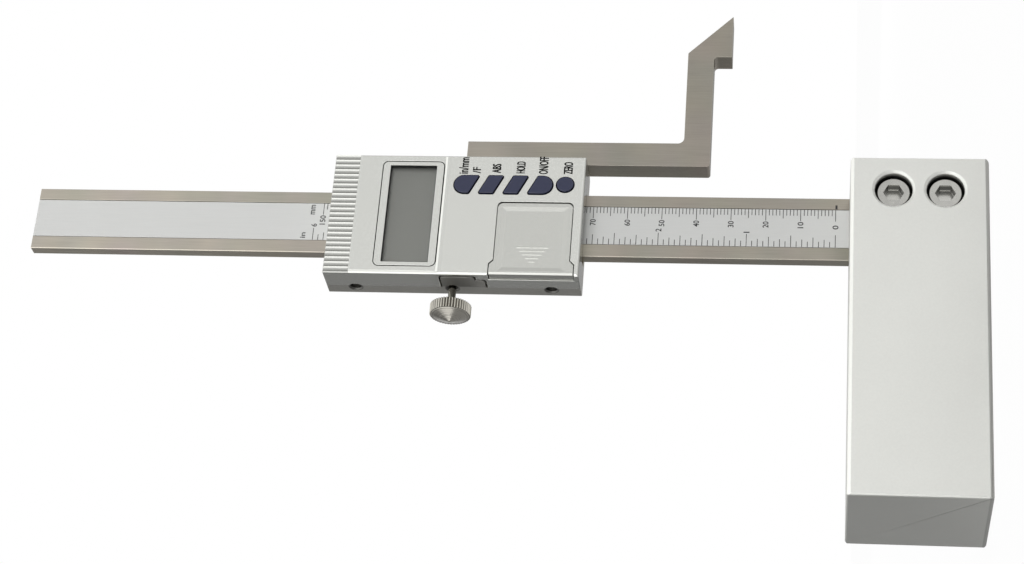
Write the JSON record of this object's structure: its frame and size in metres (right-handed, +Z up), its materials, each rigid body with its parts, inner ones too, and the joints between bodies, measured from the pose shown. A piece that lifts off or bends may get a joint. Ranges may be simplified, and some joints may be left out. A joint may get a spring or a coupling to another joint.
{
  "type": "digital height gauge",
  "caption": "Digital height gauge: flat beam clamped in a base block, a sliding display head with lock knob and an offset measuring arm.",
  "frame": {"origin": "on the foot face of the base block, under the middle of the beam's section", "axes": "+X towards the measuring arm, +Y from the display side to the back, +Z up the beam"},
  "size_m": [0.1631, 0.0355, 0.2793],
  "materials": {
    "anodised_block": "matt natural anodised",
    "ground_steel": "ground, fine grain",
    "scale_plate": "satin light grey with black divisions",
    "satin_steel": "satin",
    "silver_cover": "satin silver-grey",
    "navy_button": "semi-gloss navy",
    "zinc_screw": "zinc plated",
    "nickel_knob": "nickel plated, turned",
    "brass": "plain",
    "board_green": "solder mask",
    "chip_black": "matt",
    "strip_rubber": "matt",
    "display_glass": "unlit grey liquid crystal",
    "clear_window": "clear",
    "tray_plastic": "matt",
    "cell_steel": "polished",
    "contact_nickel": "plated spring strip"
  },
  "bodies": {
    "base": {"base_block": "anodised_block", "base_screws": "zinc_screw", "beam": "ground_steel", "scale_plate": "scale_plate"},
    "head": {"slider_frame": "satin_steel", "measuring_arm": "ground_steel", "arm_screws": "zinc_screw", "gib_strip": "brass", "gib_screws": "zinc_screw", "reader_board": "board_green", "board_screws": "zinc_screw", "control_chip": "chip_black", "snap_domes": "contact_nickel", "contact_strips": "strip_rubber", "lcd_panel": "display_glass", "display_window": "clear_window", "window_bezel": "silver_cover", "battery_tray": "tray_plastic", "coin_cell": "cell_steel", "positive_contact": "contact_nickel", "negative_contact": "contact_nickel", "front_cover": "silver_cover", "cover_screws": "zinc_screw"},
    "lock_shoe_body": {"lock_shoe": "brass"},
    "lock_screw_body": {"lock_screw": "nickel_knob"},
    "battery_lid_body": {"battery_cover": "silver_cover"},
    "button_units_body": {"button_units": "navy_button"},
    "button_abs_body": {"button_abs": "navy_button"},
    "button_hold_body": {"button_hold": "navy_button"},
    "button_power_body": {"button_power": "navy_button"},
    "button_zero_body": {"button_zero": "navy_button"}
  },
  "joints": [
    {"name": "head_slide", "type": "slide", "parent": "base", "child": "head", "axis": [0, 0, 1], "range_m": [-0.0734, 0.0766]},
    {"name": "lock_advance", "type": "slide", "parent": "head", "child": "lock_shoe_body", "axis": [1, 0, 0], "range_m": [-0.00075, 0.000236]},
    {"name": "lock_turn", "type": "hinge", "parent": "lock_shoe_body", "child": "lock_screw_body", "pos_m": [-0.0277, 0, 0.15165], "axis": [1, 0, 0], "range_deg": [-540, 170]},
    {"name": "battery_lid_slide", "type": "slide", "parent": "head", "child": "battery_lid_body", "axis": [-1, 0, 0], "range_m": [0, 0.022]},
    {"name": "button_units_press", "type": "slide", "parent": "head", "child": "button_units_body", "axis": [0, 1, 0], "range_m": [0, 0.0004], "stiffness_N_per_m": 3300},
    {"name": "button_abs_press", "type": "slide", "parent": "head", "child": "button_abs_body", "axis": [0, 1, 0], "range_m": [0, 0.0004], "stiffness_N_per_m": 3300},
    {"name": "button_hold_press", "type": "slide", "parent": "head", "child": "button_hold_body", "axis": [0, 1, 0], "range_m": [0, 0.0004], "stiffness_N_per_m": 3300},
    {"name": "button_power_press", "type": "slide", "parent": "head", "child": "button_power_body", "axis": [0, 1, 0], "range_m": [0, 0.0004], "stiffness_N_per_m": 3300},
    {"name": "button_zero_press", "type": "slide", "parent": "head", "child": "button_zero_body", "axis": [0, 1, 0], "range_m": [0, 0.0004], "stiffness_N_per_m": 3300}
  ],
  "couplings": [
    {"joint": "lock_turn", "follows": "lock_advance", "rad_per_m": 12566}
  ]
}
